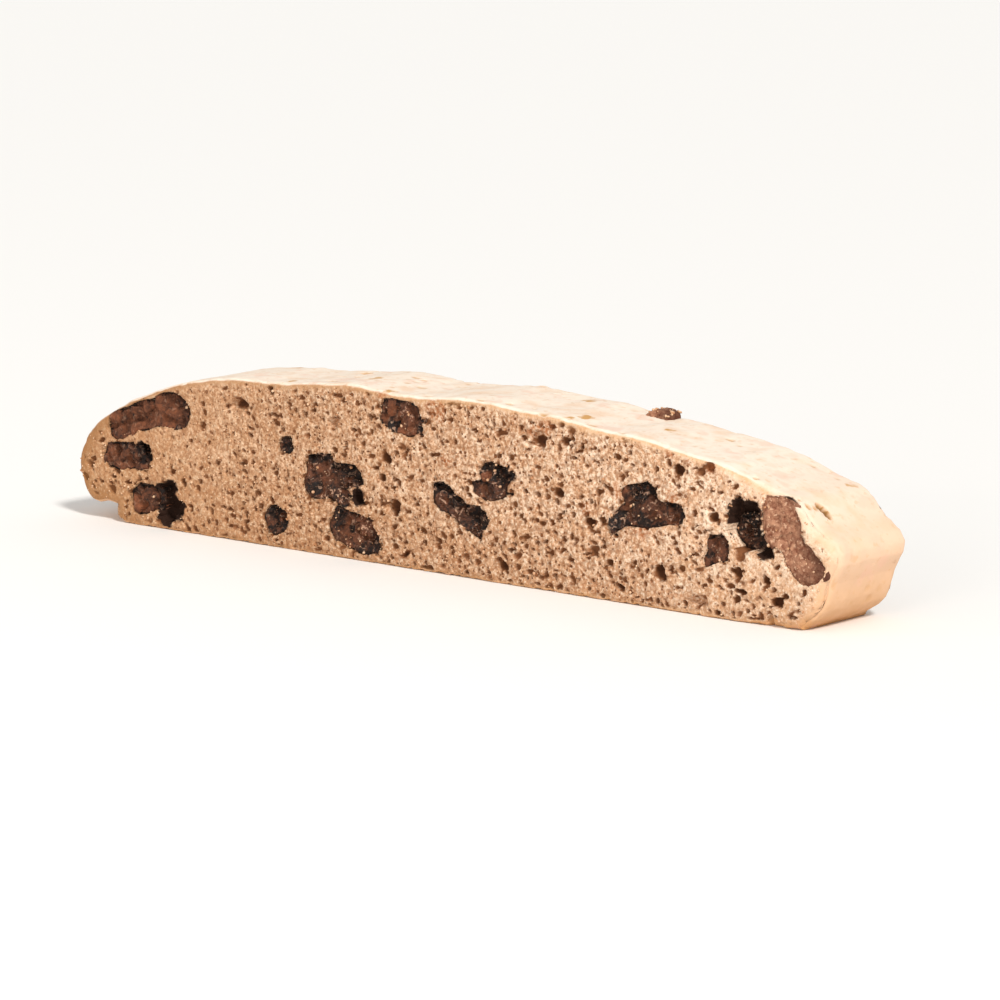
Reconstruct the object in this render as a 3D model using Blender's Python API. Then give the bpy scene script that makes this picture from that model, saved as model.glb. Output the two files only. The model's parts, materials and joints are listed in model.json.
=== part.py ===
"""Chocolate-chunk biscotti: one slice, cut straight across a flat baked log.

The slice stands on its underside, as it does in the hand or on a saucer's rim.
X runs along the slice, Y through its thickness and Z up from the underside.
Its two flat faces are knife cuts, and all the rest of its surface is the log's crust.
The knife went through chunks of dark chocolate, so each one shows in a cut face
and sits in its own pocket in the crumb.

Lengths below are in millimetres. They become metres where a mesh is made.
"""
import math
import random

import bmesh
import bpy
from mathutils import Vector

MM = 0.001

# The slice
LENGTH = 160.0
THICKNESS = 18.8
HEIGHT = 28.9
OUTLINE_STEPS = 3
MERGE_DISTANCE = 0.01

# The log's cross-section from the left foot round over the crown to the right foot.
# The left end overhangs its foot by a lip, and the right end is a blunt nose.
FOOT_LEFT = (-68.6, 0.0)
FOOT_RIGHT = (72.8, 0.0)
CRUST = (
    (-70.8, 0.9), (-70.1, 2.1), (-72.2, 3.2), (-76.8, 3.1), (-79.4, 6.6), (-80.0, 9.4),
    (-78.4, 13.6), (-75.6, 16.8), (-72.7, 18.6), (-66.5, 21.6), (-57.5, 24.7),
    (-44.7, 27.0), (-31.0, 27.9), (-17.4, 28.8), (-5.0, 28.1), (9.5, 28.9), (23.0, 27.8),
    (36.0, 26.8), (50.0, 25.2), (60.0, 23.3), (68.2, 20.9), (72.6, 19.4), (76.0, 16.0),
    (80.0, 12.3), (78.2, 8.0), (76.6, 3.4),
)

# A chunk's outline: ellipses with squared-off corners, and an edge broken into a few waves
CORNER_POWER = 3.0
RAGGEDNESS = 0.045
EDGE_WAVES = (3, 5, 7, 11)
FAINTEST_WAVE = 0.4
EDGE_DIRECTIONS = 240
EDGE_SEARCH_STEP = 0.08
POINT_SPACING = 1.7
FEWEST_POINTS = 12
MOST_POINTS = 28

# A chunk's depth: about as deep as it is broad, with a rounded rim and a narrower far end
DEPTH_SHARE = 0.72
DEEPEST = 6.3
EDGE_ROUND = 0.4
CUT_SHARE = 0.9
WAIST_DEPTH = 0.55
WAIST_SHARE = 0.96
TAIL_SHARE = 0.62

# The pockets and hollows in the crumb
GAP = 0.35
CUTTER_OVERHANG = 1.5
HOLLOW_SEGMENTS = 9
HOLLOW_RINGS = 6
FRONT = -1
BACK = 1


class Chunk:
    """A piece of chocolate in a cut face: its lumps as (x, z, width, height, tilt in degrees)."""

    def __init__(self, lumps, recess=0.15, colour="dark"):
        self.lumps = lumps
        self.recess = recess
        self.colour = colour


FRONT_CHUNKS = (
    Chunk([(-57.4, 20.4, 9.0, 5.9, 0), (-64.4, 18.9, 9.6, 5.0, 16), (-69.2, 17.0, 6.4, 5.0, 22)]),
    Chunk([(-69.7, 11.6, 8.6, 4.7, 5), (-65.8, 10.3, 5.0, 1.9, 0)], recess=0.3),
    Chunk([(-64.2, 4.7, 6.8, 5.2, 16)], recess=0.3),
    Chunk([(-31.4, 17.2, 3.5, 2.6, 30)], recess=0.3),
    Chunk([(-34.0, 4.6, 5.1, 4.9, 40)], recess=0.3),
    Chunk([(-23.8, 13.0, 7.8, 7.4, 12), (-17.6, 13.8, 6.0, 4.0, 8), (-19.4, 10.2, 4.0, 3.2, -20)],
          recess=0.35),
    Chunk([(-16.9, 4.8, 10.8, 6.3, -14), (-13.0, 3.4, 4.4, 4.2, 0)], recess=0.35),
    Chunk([(-6.2, 24.4, 9.2, 5.4, -8)], recess=0.25),
    Chunk([(2.2, 12.7, 3.8, 4.6, 0), (5.6, 10.9, 9.2, 3.7, -32), (9.3, 9.5, 5.2, 4.8, -20)],
          recess=0.3),
    Chunk([(12.4, 14.8, 8.0, 3.2, 6), (13.2, 17.2, 5.8, 4.0, 0)], recess=0.3),
    Chunk([(42.4, 16.6, 7.2, 5.4, 24), (45.2, 14.4, 12.4, 3.7, 8), (38.2, 12.9, 6.2, 2.6, 40)],
          recess=0.35),
    Chunk([(57.4, 10.8, 4.3, 4.4, 0), (55.9, 8.9, 3.0, 1.8, 40)], recess=0.4),
    Chunk([(62.6, 13.7, 5.6, 4.8, -20)], recess=2.2),
    Chunk([(69.3, 16.2, 6.8, 8.2, 20), (73.6, 10.6, 7.6, 5.6, -38)], recess=0.1, colour="dusty"),
)

BACK_CHUNKS = (
    Chunk([(-67.0, 12.6, 8.8, 5.4, 24), (-63.4, 10.2, 4.4, 3.6, 0)], recess=0.3),
    Chunk([(-53.5, 6.2, 7.2, 4.8, -18)], recess=0.4),
    Chunk([(-48.0, 19.6, 7.6, 5.8, 10)], recess=0.2, colour="dusty"),
    Chunk([(-35.0, 11.2, 10.2, 4.4, 28), (-31.6, 14.0, 4.6, 4.4, 0)], recess=0.5),
    Chunk([(-24.5, 22.0, 5.6, 4.6, -12)], recess=0.35),
    Chunk([(-15.5, 7.2, 8.4, 6.6, 16)], recess=0.4),
    Chunk([(-1.0, 18.4, 10.6, 4.0, -24), (2.2, 14.8, 4.4, 5.8, 0)], recess=0.5),
    Chunk([(11.5, 5.4, 5.0, 5.2, 35)], recess=0.4),
    Chunk([(20.5, 20.6, 6.6, 4.8, 14)], recess=0.3),
    Chunk([(30.0, 11.0, 9.0, 6.2, -20), (26.2, 8.6, 4.6, 4.0, 0)], recess=0.5),
    Chunk([(33.3, 25.3, 5.4, 5.0, -8)], recess=0.1, colour="dusty"),
    Chunk([(46.5, 5.2, 4.6, 4.0, 20)], recess=0.5),
    Chunk([(56.0, 14.6, 8.2, 5.6, -30), (59.2, 11.6, 4.0, 4.0, 0)], recess=0.35),
    Chunk([(70.2, 7.4, 6.6, 4.8, 12)], recess=0.4),
)

# Hollows left by steam or by lost chocolate: side, x, z, width, height and depth
HOLLOWS = (
    (FRONT, -64.0, 12.5, 3.0, 3.2, 2.6),
    (FRONT, -59.4, 5.4, 4.6, 6.2, 4.4),
    (FRONT, -57.4, 4.9, 3.4, 2.2, 2.4),
    (FRONT, -41.8, 23.0, 4.4, 2.5, 1.8),
    (FRONT, -20.9, 21.9, 2.9, 2.4, 1.5),
    (FRONT, -7.9, 9.7, 3.3, 2.9, 1.8),
    (FRONT, 22.4, 23.5, 3.6, 3.0, 1.7),
    (FRONT, 46.6, 5.6, 2.6, 2.4, 1.5),
    (FRONT, 54.0, 2.4, 4.0, 1.5, 1.4),
    (FRONT, 61.9, 15.6, 4.8, 4.6, 5.0),
    (FRONT, 63.9, 13.6, 6.0, 5.6, 4.6),
    (FRONT, 67.5, 0.0, 2.2, 2.0, 1.6),
    (BACK, -57.0, 14.5, 3.2, 2.6, 1.8),
    (BACK, -41.0, 4.2, 3.0, 2.0, 1.5),
    (BACK, -8.5, 13.2, 2.8, 2.6, 1.6),
    (BACK, 20.0, 13.2, 3.0, 2.4, 1.6),
    (BACK, 33.5, 3.6, 3.4, 1.8, 1.4),
    (BACK, 44.5, 16.8, 2.6, 2.6, 1.6),
    (BACK, 64.2, 17.2, 3.0, 2.2, 1.5),
)

COLOURS = {
    "crumb": (0.57, 0.36, 0.22),
    "dark": (0.12, 0.055, 0.032),
    "dusty": (0.28, 0.13, 0.075),
}
ROUGHNESS = {"crumb": 0.9, "dark": 0.45, "dusty": 0.8}


def clear_scene():
    for thing in list(bpy.data.objects):
        bpy.data.objects.remove(thing, do_unlink=True)


def new_collection(name, hidden=False):
    group = bpy.data.collections.new(name)
    bpy.context.scene.collection.children.link(group)
    group.hide_render = hidden
    return group


def material(name):
    made = bpy.data.materials.get(name)
    if made is None:
        made = bpy.data.materials.new(name)
        made.use_nodes = True
        shader = made.node_tree.nodes["Principled BSDF"]
        shader.inputs["Base Color"].default_value = (*COLOURS[name], 1.0)
        shader.inputs["Roughness"].default_value = ROUGHNESS[name]
        shader.inputs["Metallic"].default_value = 0.0
    return made


def new_object(name, mesh, group, finish=None):
    thing = bpy.data.objects.new(name, mesh)
    group.objects.link(thing)
    if finish is None:
        thing.hide_render = True
        thing.display_type = "WIRE"
    else:
        mesh.materials.clear()
        mesh.materials.append(material(finish))
    return thing


def slab(group):
    """The whole slice before its pockets are cut: the outline, as thick as the slice."""
    curve = bpy.data.curves.new("log_section", "CURVE")
    curve.dimensions = "2D"
    curve.fill_mode = "BOTH"
    curve.extrude = THICKNESS / 2 * MM
    curve.resolution_u = OUTLINE_STEPS
    anchors = (FOOT_LEFT,) + CRUST + (FOOT_RIGHT,)
    spline = curve.splines.new("BEZIER")
    spline.bezier_points.add(len(anchors) - 1)
    spline.use_cyclic_u = True
    for point, (x, z) in zip(spline.bezier_points, anchors):
        point.co = (x * MM, z * MM, 0.0)
        sharp = z == 0.0
        point.handle_left_type = "VECTOR" if sharp else "AUTO"
        point.handle_right_type = "VECTOR" if sharp else "AUTO"
    section = new_object("log_section", curve, group)
    evaluated = section.evaluated_get(bpy.context.evaluated_depsgraph_get())
    mesh = bpy.data.meshes.new_from_object(evaluated)
    bpy.data.objects.remove(section)
    stand_up_and_fit(mesh)
    return new_object("biscuit", mesh, group, "crumb")


def stand_up_and_fit(mesh):
    """Turns the flat outline upright and brings it to the slice's exact length and height."""
    shape = bmesh.new()
    shape.from_mesh(mesh)
    bmesh.ops.remove_doubles(shape, verts=shape.verts, dist=MERGE_DISTANCE * MM)
    low_x = min(v.co.x for v in shape.verts)
    high_x = max(v.co.x for v in shape.verts)
    low_z = min(v.co.y for v in shape.verts)
    high_z = max(v.co.y for v in shape.verts)
    for v in shape.verts:
        along = (v.co.x - low_x) / (high_x - low_x)
        up = (v.co.y - low_z) / (high_z - low_z)
        v.co = Vector(((along - 0.5) * LENGTH * MM, -v.co.z, up * HEIGHT * MM))
    bmesh.ops.recalc_face_normals(shape, faces=shape.faces)
    shape.to_mesh(mesh)
    shape.free()


def chunk_centre(lumps):
    area = sum(width * height for _, _, width, height, _ in lumps)
    x = sum(lump[0] * lump[2] * lump[3] for lump in lumps) / area
    z = sum(lump[1] * lump[2] * lump[3] for lump in lumps) / area
    return x, z


def inside_lump(x, z, lump):
    """True where a point lies in a lump, which is an ellipse with squared-off corners."""
    centre_x, centre_z, width, height, tilt = lump
    turn = math.radians(tilt)
    along = (x - centre_x) * math.cos(turn) + (z - centre_z) * math.sin(turn)
    across = (z - centre_z) * math.cos(turn) - (x - centre_x) * math.sin(turn)
    reach = abs(2 * along / width) ** CORNER_POWER + abs(2 * across / height) ** CORNER_POWER
    return reach <= 1.0


def ragged_outline(lumps, seed):
    """The edge of all the lumps together, broken a little unevenly, at an even spacing."""
    centre_x, centre_z = chunk_centre(lumps)
    dice = random.Random(seed)
    waves = [(count, dice.uniform(0, math.tau), dice.uniform(FAINTEST_WAVE, 1.0))
             for count in EDGE_WAVES]
    steps = int(2 * max(lump[2] for lump in lumps) / EDGE_SEARCH_STEP)
    edge = []
    for index in range(EDGE_DIRECTIONS):
        angle = math.tau * index / EDGE_DIRECTIONS
        way_x, way_z = math.cos(angle), math.sin(angle)
        reach = 0.0
        for step in range(steps):
            tried = step * EDGE_SEARCH_STEP
            x, z = centre_x + way_x * tried, centre_z + way_z * tried
            if any(inside_lump(x, z, lump) for lump in lumps):
                reach = tried
        ripple = sum(size * math.sin(count * angle + shift) for count, shift, size in waves)
        reach *= 1 + RAGGEDNESS * ripple
        edge.append(Vector((centre_x + way_x * reach, centre_z + way_z * reach)))
    return evenly_spaced(edge)


def evenly_spaced(edge):
    """The same closed line with fewer points, all as far apart along it."""
    spans = [(edge[(i + 1) % len(edge)] - edge[i]).length for i in range(len(edge))]
    total = sum(spans)
    count = max(FEWEST_POINTS, min(MOST_POINTS, round(total / POINT_SPACING)))
    points = []
    walked = 0.0
    index = 0
    for step in range(count):
        goal = total * step / count
        while walked + spans[index] < goal:
            walked += spans[index]
            index += 1
        share = (goal - walked) / spans[index]
        points.append(edge[index].lerp(edge[(index + 1) % len(edge)], share))
    return points


def widened(outline, distance):
    """The outline moved outwards by a distance, square to its own edges."""
    moved = []
    for index, point in enumerate(outline):
        along = outline[(index + 1) % len(outline)] - outline[index - 1]
        moved.append(point + Vector((along.y, -along.x)).normalized() * distance)
    return moved


def shrunk(outline, centre, share):
    return [centre + (point - centre) * share for point in outline]


def lofted_solid(name, rings):
    """One closed body through a row of rings, each an outline at its own depth (y)."""
    shape = bmesh.new()
    rows = [[shape.verts.new((x * MM, y * MM, z * MM)) for x, z in outline] for y, outline in rings]
    count = len(rows[0])
    for near, far in zip(rows, rows[1:]):
        for i in range(count):
            j = (i + 1) % count
            shape.faces.new((near[i], near[j], far[j], far[i]))
    shape.faces.new(rows[0])
    shape.faces.new(rows[-1])
    bmesh.ops.recalc_face_normals(shape, faces=shape.faces)
    mesh = bpy.data.meshes.new(name)
    shape.to_mesh(mesh)
    shape.free()
    return mesh


def chunk_and_cutter(name, chunk, side, seed, group, cutters):
    """A chunk with its cut side in the face, and the cutter of the pocket that it sits in."""
    outline = ragged_outline(chunk.lumps, seed)
    centre = Vector(chunk_centre(chunk.lumps))
    broad = max(point.x for point in outline) - min(point.x for point in outline)
    tall = max(point.y for point in outline) - min(point.y for point in outline)
    depth = min(DEEPEST, DEPTH_SHARE * math.sqrt(broad * tall))
    face = side * THICKNESS / 2
    cut = face - side * chunk.recess
    middle = cut - side * WAIST_DEPTH * depth
    end = cut - side * depth
    waist = shrunk(outline, centre, WAIST_SHARE)
    tail = shrunk(outline, centre, TAIL_SHARE)
    new_object(name, lofted_solid(name, (
        (cut, shrunk(outline, centre, CUT_SHARE)),
        (cut - side * EDGE_ROUND, outline),
        (middle, waist),
        (end, tail),
    )), group, chunk.colour)
    new_object("pocket_of_" + name, lofted_solid("pocket_of_" + name, (
        (face + side * CUTTER_OVERHANG, widened(outline, GAP)),
        (cut - side * EDGE_ROUND, widened(outline, GAP)),
        (middle, widened(waist, GAP)),
        (end - side * GAP, widened(tail, GAP)),
    )), cutters)


def hollow_cutter(name, side, x, z, width, height, depth, cutters):
    """A round-bottomed hollow in a cut face."""
    shape = bmesh.new()
    bmesh.ops.create_uvsphere(shape, u_segments=HOLLOW_SEGMENTS, v_segments=HOLLOW_RINGS, radius=0.5)
    bmesh.ops.scale(shape, vec=(width * MM, 2 * depth * MM, height * MM), verts=shape.verts)
    bmesh.ops.translate(shape, vec=(x * MM, side * THICKNESS / 2 * MM, z * MM), verts=shape.verts)
    mesh = bpy.data.meshes.new(name)
    shape.to_mesh(mesh)
    shape.free()
    new_object(name, mesh, cutters)


def build():
    clear_scene()
    group = new_collection("chocolate_chunk_biscotti")
    cutters = new_collection("cutters", hidden=True)
    biscuit = slab(group)
    for side_name, side, chunks in (("front", FRONT, FRONT_CHUNKS), ("back", BACK, BACK_CHUNKS)):
        for number, chunk in enumerate(chunks, start=1):
            name = f"chocolate_{side_name}_{number:02d}"
            chunk_and_cutter(name, chunk, side, name, group, cutters)
    for number, hollow in enumerate(HOLLOWS, start=1):
        hollow_cutter(f"hollow_{number:02d}", *hollow, cutters)
    carve = biscuit.modifiers.new("pockets and hollows", "BOOLEAN")
    carve.operation = "DIFFERENCE"
    carve.solver = "EXACT"
    carve.operand_type = "COLLECTION"
    carve.collection = cutters
    carve.use_self = True


build()
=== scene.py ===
import json
import math
import random

import bmesh
import bpy
import numpy as np
from mathutils import Euler, Matrix, Vector
from mathutils.bvhtree import BVHTree
from mathutils.kdtree import KDTree


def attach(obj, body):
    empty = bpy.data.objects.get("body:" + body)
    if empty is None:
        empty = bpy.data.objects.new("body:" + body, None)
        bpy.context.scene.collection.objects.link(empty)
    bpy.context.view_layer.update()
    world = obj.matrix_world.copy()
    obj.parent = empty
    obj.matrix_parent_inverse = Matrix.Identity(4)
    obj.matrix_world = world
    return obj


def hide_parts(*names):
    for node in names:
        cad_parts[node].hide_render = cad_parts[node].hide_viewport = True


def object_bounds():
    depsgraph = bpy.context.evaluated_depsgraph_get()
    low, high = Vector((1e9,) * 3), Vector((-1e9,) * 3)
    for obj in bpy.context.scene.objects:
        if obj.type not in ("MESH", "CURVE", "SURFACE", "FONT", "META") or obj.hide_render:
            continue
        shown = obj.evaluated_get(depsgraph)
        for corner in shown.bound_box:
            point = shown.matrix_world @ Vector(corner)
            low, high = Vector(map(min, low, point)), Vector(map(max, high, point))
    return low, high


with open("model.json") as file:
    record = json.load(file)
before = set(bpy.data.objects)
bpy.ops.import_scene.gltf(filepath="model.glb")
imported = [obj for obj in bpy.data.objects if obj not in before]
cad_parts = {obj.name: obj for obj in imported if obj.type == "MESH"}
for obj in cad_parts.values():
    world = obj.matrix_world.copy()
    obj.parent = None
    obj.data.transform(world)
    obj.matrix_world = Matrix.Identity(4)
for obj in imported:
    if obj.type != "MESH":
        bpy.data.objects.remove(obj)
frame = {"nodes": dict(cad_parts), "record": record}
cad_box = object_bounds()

# ---------------------------------------------------------------------------
# The baked slice. Egg dough with baking powder, baked as a low log, sliced with a
# serrated knife and dried out in the oven again. It is one piece: open, brittle crumb
# on the two cut faces, and a thin, closed crust round the rest.

MM = 0.001
LENGTH, THICKNESS, HEIGHT = ((high - low) / MM for low, high in zip(*cad_box))
HALF = THICKNESS / 2
COLUMNS = 800
ROWS = 140
COURSES = 56
SLICE_TRIANGLES = 197000
POCKET_DEEPEST = 3.4


def solid_tree(*nodes):
    """The shapes of some CAD nodes, ready for rays and distances, in metres."""
    shape = bmesh.new()
    for node in nodes:
        shape.from_mesh(frame["nodes"][node].data)
    bmesh.ops.remove_doubles(shape, verts=shape.verts, dist=0.001 * MM)
    found = BVHTree.FromBMesh(shape)
    shape.free()
    return found


def hashed(cells, seed):
    """A steady random number from 0 to 1 for each whole-number cell."""
    start = (seed * 0x9E3779B97F4A7C15) & 0xFFFFFFFFFFFFFFFF
    value = np.full(cells.shape[:-1], start, np.uint64)
    with np.errstate(over="ignore"):
        for axis in range(cells.shape[-1]):
            value ^= cells[..., axis].astype(np.int64).astype(np.uint64)
            value *= np.uint64(0xBF58476D1CE4E5B9)
            value ^= value >> np.uint64(29)
        value *= np.uint64(0x94D049BB133111EB)
        value ^= value >> np.uint64(32)
    return (value >> np.uint64(11)).astype(float) / float(1 << 53)


def soft_noise(places, size, seed):
    """Smooth noise from -1 to 1, whose lumps are about size across."""
    scaled = places / size
    corner = np.floor(scaled).astype(np.int64)
    share = scaled - corner
    share = share ** 3 * (share * (share * 6 - 15) + 10)
    axes = places.shape[1]
    total = np.zeros(len(places))
    for which in range(2 ** axes):
        offset = np.array([(which >> axis) & 1 for axis in range(axes)])
        weight = np.prod(np.where(offset == 1, share, 1 - share), axis=1)
        total += weight * hashed(corner + offset, seed)
    return total * 2 - 1


def rough_noise(places, size, layers, seed):
    """Soft noise with finer and fainter layers of itself on top."""
    return sum(soft_noise(places, size / 2 ** n, seed + n) / 2 ** n for n in range(layers)) / 1.5


def bubbles(flat, spacing, narrow, wide, chance, seed):
    """How deep the bubbles that a knife opened reach below the flat cut, under each place.

    Each cell holds one bubble at most, with a radius from narrow to wide, and chance(centres)
    is how likely that is. Its centre lies a little above or below the cut.
    """
    depth = np.zeros(len(flat))
    home = np.floor(flat / spacing).astype(np.int64)
    for step_x in (-1, 0, 1):
        for step_z in (-1, 0, 1):
            cell = home + (step_x, step_z)
            jitter = np.stack([hashed(cell, seed), hashed(cell, seed + 1)], 1)
            centre = (cell + jitter) * spacing
            radius = narrow + (wide - narrow) * hashed(cell, seed + 2) ** 1.8
            sunk = radius * (1.3 * hashed(cell, seed + 3) - 0.5)
            turn = math.pi * hashed(cell, seed + 4)
            stretch = 1 + 0.45 * hashed(cell, seed + 5)
            away = flat - centre
            along = (away[:, 0] * np.cos(turn) + away[:, 1] * np.sin(turn)) / stretch
            across = (away[:, 1] * np.cos(turn) - away[:, 0] * np.sin(turn)) * stretch
            apart = along ** 2 + across ** 2
            there = (apart < radius ** 2 - sunk ** 2) & (hashed(cell, seed + 6) < chance(centre))
            reach = np.sqrt(np.clip(radius ** 2 - apart, 0, None)) + sunk
            depth = np.where(there, np.maximum(depth, reach), depth)
    return depth


def dents(places, spacing, radius, chance, seed):
    """How far inside a round dent each place of a skin is: 1 in its middle, 0 outside it."""
    inside = np.zeros(len(places))
    home = np.floor(places / spacing).astype(np.int64)
    for which in range(27):
        cell = home + (which // 9 - 1, which // 3 % 3 - 1, which % 3 - 1)
        jitter = np.stack([hashed(cell, seed + n) for n in range(3)], 1)
        apart = np.linalg.norm(places - (cell + jitter) * spacing, axis=1)
        there = hashed(cell, seed + 4) < chance
        size = radius * (0.5 + 0.5 * hashed(cell, seed + 5))
        inside = np.where(there, np.maximum(inside, 1 - apart / size), inside)
    return inside


def smooth_step(low, high, value):
    share = np.clip((value - low) / (high - low), 0, 1)
    return share * share * (3 - 2 * share)


slice_tree = solid_tree("biscuit")
chunk_tree = solid_tree(*[name for name in frame["nodes"] if name != "biscuit"])


def crust_height(x, up):
    """Where the log's crust lies above (up) or below a place along the slice, in millimetres."""
    start = Vector((x * MM, 0, -MM if up < 0 else (HEIGHT + 1) * MM))
    return slice_tree.ray_cast(start, Vector((0, 0, -up)))[0].z / MM


# The outline as columns from the left end to the right, closer together where it is steep
END_INSET = 0.02
STEEP_SHARE = 0.6
fine_x = np.linspace(-LENGTH / 2 + END_INSET, LENGTH / 2 - END_INSET, 4001)
fine_top = np.array([crust_height(x, 1) for x in fine_x])
fine_base = np.array([crust_height(x, -1) for x in fine_x])
climb = np.abs(np.diff(fine_top)) + np.abs(np.diff(fine_base))
walked = np.concatenate([[0], np.cumsum(np.diff(fine_x) + STEEP_SHARE * climb)])
column_x = np.interp(np.linspace(0, walked[-1], COLUMNS + 1), walked, fine_x)
column_top = np.interp(column_x, fine_x, fine_top)
column_base = np.interp(column_x, fine_x, fine_base)

# One cut face as a grid, drawn out to the other cut face in courses
shape = bmesh.new()
bmesh.ops.create_grid(shape, x_segments=COLUMNS, y_segments=ROWS, size=0.5)
drawn = bmesh.ops.extrude_face_region(shape, geom=shape.faces[:])
far_side = [part for part in drawn["geom"] if isinstance(part, bmesh.types.BMVert)]
bmesh.ops.translate(shape, vec=(0, 0, -1), verts=far_side)
sides = [edge for edge in shape.edges if abs(edge.verts[0].co.z - edge.verts[1].co.z) > 0.5]
bmesh.ops.subdivide_edges(shape, edges=sides, cuts=COURSES - 1, use_grid_fill=True)
bmesh.ops.recalc_face_normals(shape, faces=shape.faces)
slice_mesh = bpy.data.meshes.new("biscotti_slice")
shape.to_mesh(slice_mesh)
shape.free()


def read_points(mesh):
    flat = np.empty(len(mesh.vertices) * 3)
    mesh.vertices.foreach_get("co", flat)
    return flat.reshape(-1, 3)


def read_normals(mesh):
    flat = np.empty(len(mesh.vertices) * 3, np.float32)
    mesh.vertex_normals.foreach_get("vector", flat)
    return flat.reshape(-1, 3).astype(float)


def move_points(mesh, places):
    mesh.vertices.foreach_set("co", (places * MM).ravel())
    mesh.update()


def add_attribute(mesh, name, values):
    mesh.attributes.new(name, "FLOAT", "POINT").data.foreach_set("value", values.astype(np.float32))


TINY = 1e-4
unit = read_points(slice_mesh)
column = (unit[:, 0] + 0.5) * COLUMNS
share_up = unit[:, 1] + 0.5
through = -unit[:, 2]
steps = np.arange(COLUMNS + 1)
points = np.empty_like(unit)
points[:, 0] = np.interp(column, steps, column_x)
points[:, 1] = (through - 0.5) * THICKNESS
low_edge = np.interp(column, steps, column_base)
high_edge = np.interp(column, steps, column_top)
points[:, 2] = low_edge + (high_edge - low_edge) * share_up
on_front = through < TINY
on_back = through > 1 - TINY
on_face = on_front | on_back
on_crust = ((share_up < TINY) | (share_up > 1 - TINY)
            | (column < TINY) | (column > COLUMNS - TINY))
skin = on_crust & ~on_face
away_from_cut = HALF - np.abs(points[:, 1])

# The log rose unevenly, so its outline wanders a little, but its base stays flat
lifted = smooth_step(0.0, 3.0, points[:, 2])
drift = points * (1, 0.35, 1)
for axis, seed in ((0, 11), (2, 13)):
    wander = 0.30 * soft_noise(drift, 8.5, seed) + 0.11 * soft_noise(drift, 2.1, seed + 1)
    points[:, axis] += wander * lifted
move_points(slice_mesh, points)
normals = read_normals(slice_mesh)

# How far each place of a cut face is from the crust, and from the nearest chocolate
rim_points = np.flatnonzero(on_crust & on_face)
rim = KDTree(len(rim_points))
for index in rim_points:
    rim.insert(points[index], index)
rim.balance()
nearest_rim = np.arange(len(points))
from_crust = np.zeros(len(points))
from_chocolate = np.full(len(points), 9.0)
faces = np.flatnonzero(on_face)
STAIN_REACH = 2.5
for index in faces:
    x, y, z = points[index]
    nearest_rim[index], from_crust[index] = rim.find((x, y, z))[1:]
    near = chunk_tree.find_nearest((x * MM, y * MM, z * MM), STAIN_REACH * MM)
    if near[0] is not None:
        from_chocolate[index] = near[3] / MM

# A crumbly edge for every pocket and hollow: each place reads the CAD a little beside itself
flat = np.stack([points[:, 0] + 500.0 * on_back, points[:, 2]], 1)
ragged = points.copy()
ragged[:, 0] += 0.50 * rough_noise(flat, 2.0, 4, 21)
ragged[:, 2] += 0.50 * rough_noise(flat, 2.0, 4, 26)

# Hollows beside the chunks, made deep and painted near black: painted shade with some melted chocolate stain. x, z and
# reach.
# Toasted spots are where the crumb browned, and one chunk left a smear on the crust.
MELTED_AND_SHADED = ((-59.0, 6.2, 2.5), (-57.8, 4.3, 2.6), (-59.4, 2.6, 1.8), (-64.6, 12.2, 2.2), (61.7, 16.3, 2.5), (63.3, 14.3, 2.8),
          (65.8, 12.3, 2.1), (63.8, 17.4, 1.8), (15.6, 17.4, 1.4), (-15.5, 10.4, 1.4))
TOASTED = ((1.2, 26.5, 2.2), (23.6, 25.6, 1.8), (20.6, 24.9, 1.4), (-10.2, 28.2, 1.6), (48.6, 17.2, 1.6),
           (38.0, 17.4, 1.2), (43.0, 11.8, 2.0), (55.8, 23.1, 1.2), (47.9, 24.2, 1.0), (51.8, 23.7, 0.9),
           (3.0, 18.5, 1.0), (31.6, 14.0, 1.3))
SMEAR_ON_CRUST = (71.0, 21.0)


def spots(marks):
    total = np.zeros(len(points))
    broken_edge = 0.35 * rough_noise(flat, 0.9, 2, 141)
    for x, z, reach in marks:
        away = np.hypot(ragged[:, 0] - x, ragged[:, 2] - z) / reach
        total = np.maximum(total, 1 - smooth_step(0.6, 1, away + broken_edge))
    return np.where(on_back, 0, total)


melted_and_shaded = spots(MELTED_AND_SHADED)

# Pockets lie under the chunks. Hollows that hold none come from the CAD slice itself.
UNDER_CHUNK = 3.0
pocket = np.zeros(len(points))
holds_chunk = np.zeros(len(points), bool)
for index in faces:
    side = -1.0 if on_front[index] else 1.0
    x, _, z = points[index] + 0.62 * (ragged[index] - points[index])
    start = Vector((x * MM, side * (HALF + 1) * MM, z * MM))
    hit = chunk_tree.ray_cast(start, Vector((0, -side, 0)), (1 + POCKET_DEEPEST) * MM)[0]
    if hit is not None:
        holds_chunk[index] = True
        pocket[index] = HALF - side * hit.y / MM + UNDER_CHUNK
    elif from_chocolate[index] > 0.9:
        start = Vector((ragged[index, 0] * MM, side * (HALF + 1) * MM, ragged[index, 2] * MM))
        hit = slice_tree.ray_cast(start, Vector((0, -side, 0)), THICKNESS * MM)[0]
        if hit is not None:
            pocket[index] = HALF - side * hit.y / MM
pocket = np.clip(np.maximum(pocket, 2.8 * melted_and_shaded), 0, POCKET_DEEPEST)
grid_place = (np.rint(column).astype(int), np.rint(share_up * ROWS).astype(int))
beside_melted_and_shaded = np.zeros(len(points), bool)
for cut in (on_front, on_back):
    open_grid = np.zeros((COLUMNS + 3, ROWS + 3), bool)
    open_grid[grid_place[0][cut] + 1, grid_place[1][cut] + 1] = melted_and_shaded[cut] > 0.02
    widened = open_grid.copy()
    for along, up in ((1, 0), (-1, 0), (0, 1), (0, -1)):
        widened |= np.roll(open_grid, (along, up), (0, 1))
    beside_melted_and_shaded[cut] = widened[grid_place[0][cut] + 1, grid_place[1][cut] + 1]

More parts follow.
